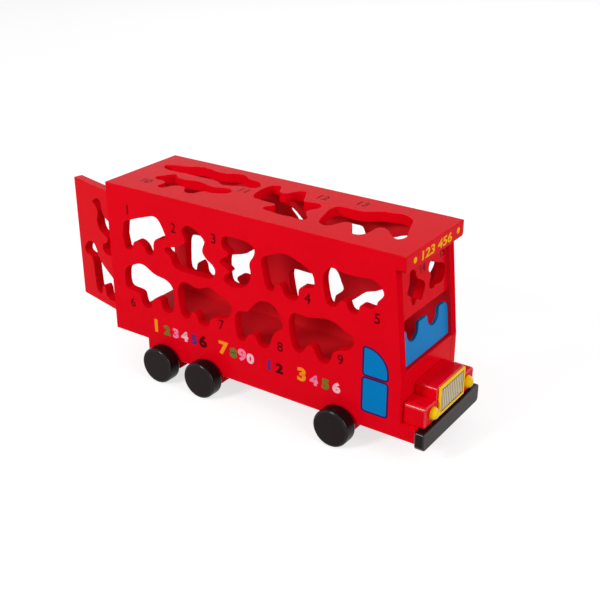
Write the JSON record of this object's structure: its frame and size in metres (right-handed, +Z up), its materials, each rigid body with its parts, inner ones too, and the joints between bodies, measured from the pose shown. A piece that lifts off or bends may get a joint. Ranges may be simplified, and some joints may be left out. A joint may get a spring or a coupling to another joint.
{
  "type": "wooden toy bus",
  "caption": "Painted wooden toy bus with animal-shaped cut-outs in its sides, roof, front and hinged rear door, on a chassis with rolling wheels.",
  "frame": {"origin": "on the ground, midway between the bumper's front and the far edge of the open rear door, on the bus's centre plane", "axes": "+X forward to the bumper, +Y to the bus's left side, +Z up; the side seen in the picture is the right side, at -Y"},
  "size_m": [0.42, 0.131, 0.188],
  "materials": {
    "red_paint": "satin gloss red paint on wood",
    "blue_paint": "satin blue paint on wood",
    "yellow_paint": "gloss yellow paint on wood",
    "grille_paint": "satin beige paint on a ribbed wooden plate",
    "black_paint": "satin black paint on wood",
    "bare_wood": "bare beech dowel"
  },
  "bodies": {
    "bus": {"chassis": "red_paint", "rear_axle_block": "red_paint", "middle_axle_block": "red_paint", "front_axle_block": "red_paint", "floor_board": "red_paint", "rear_top_rail": "red_paint", "right_side_panel": "red_paint", "left_side_panel": "red_paint", "roof_board": "red_paint", "header_board": "red_paint", "front_lower_panel": "red_paint", "front_upper_panel": "red_paint", "windscreen_board": "blue_paint", "bonnet_block": "red_paint", "right_fender": "red_paint", "left_fender": "red_paint", "grille_frame": "yellow_paint", "grille_plate": "grille_paint", "right_headlight": "yellow_paint", "left_headlight": "yellow_paint", "bumper": "black_paint"},
    "rear_wheels": {"rear_axle": "bare_wood", "rear_left_wheel": "black_paint", "rear_right_wheel": "black_paint"},
    "middle_wheels": {"middle_axle": "bare_wood", "middle_left_wheel": "black_paint", "middle_right_wheel": "black_paint"},
    "front_wheels": {"front_axle": "bare_wood", "front_left_wheel": "black_paint", "front_right_wheel": "black_paint"},
    "door": {"rear_door": "red_paint", "lower_door_pin": "bare_wood", "upper_door_pin": "bare_wood"}
  },
  "joints": [
    {"name": "rear_wheels_roll", "type": "hinge", "parent": "bus", "child": "rear_wheels", "pos_m": [-0.07527, 0, 0.018], "axis": [0, 1, 0], "continuous": true},
    {"name": "middle_wheels_roll", "type": "hinge", "parent": "bus", "child": "middle_wheels", "pos_m": [-0.02347, 0, 0.018], "axis": [0, 1, 0], "continuous": true},
    {"name": "front_wheels_roll", "type": "hinge", "parent": "bus", "child": "front_wheels", "pos_m": [0.12333, 0, 0.018], "axis": [0, 1, 0], "continuous": true},
    {"name": "door_swing", "type": "hinge", "parent": "bus", "child": "door", "pos_m": [-0.13507, -0.0357, 0.1087], "axis": [0, 0, 1], "range_deg": [-77, 13]}
  ]
}
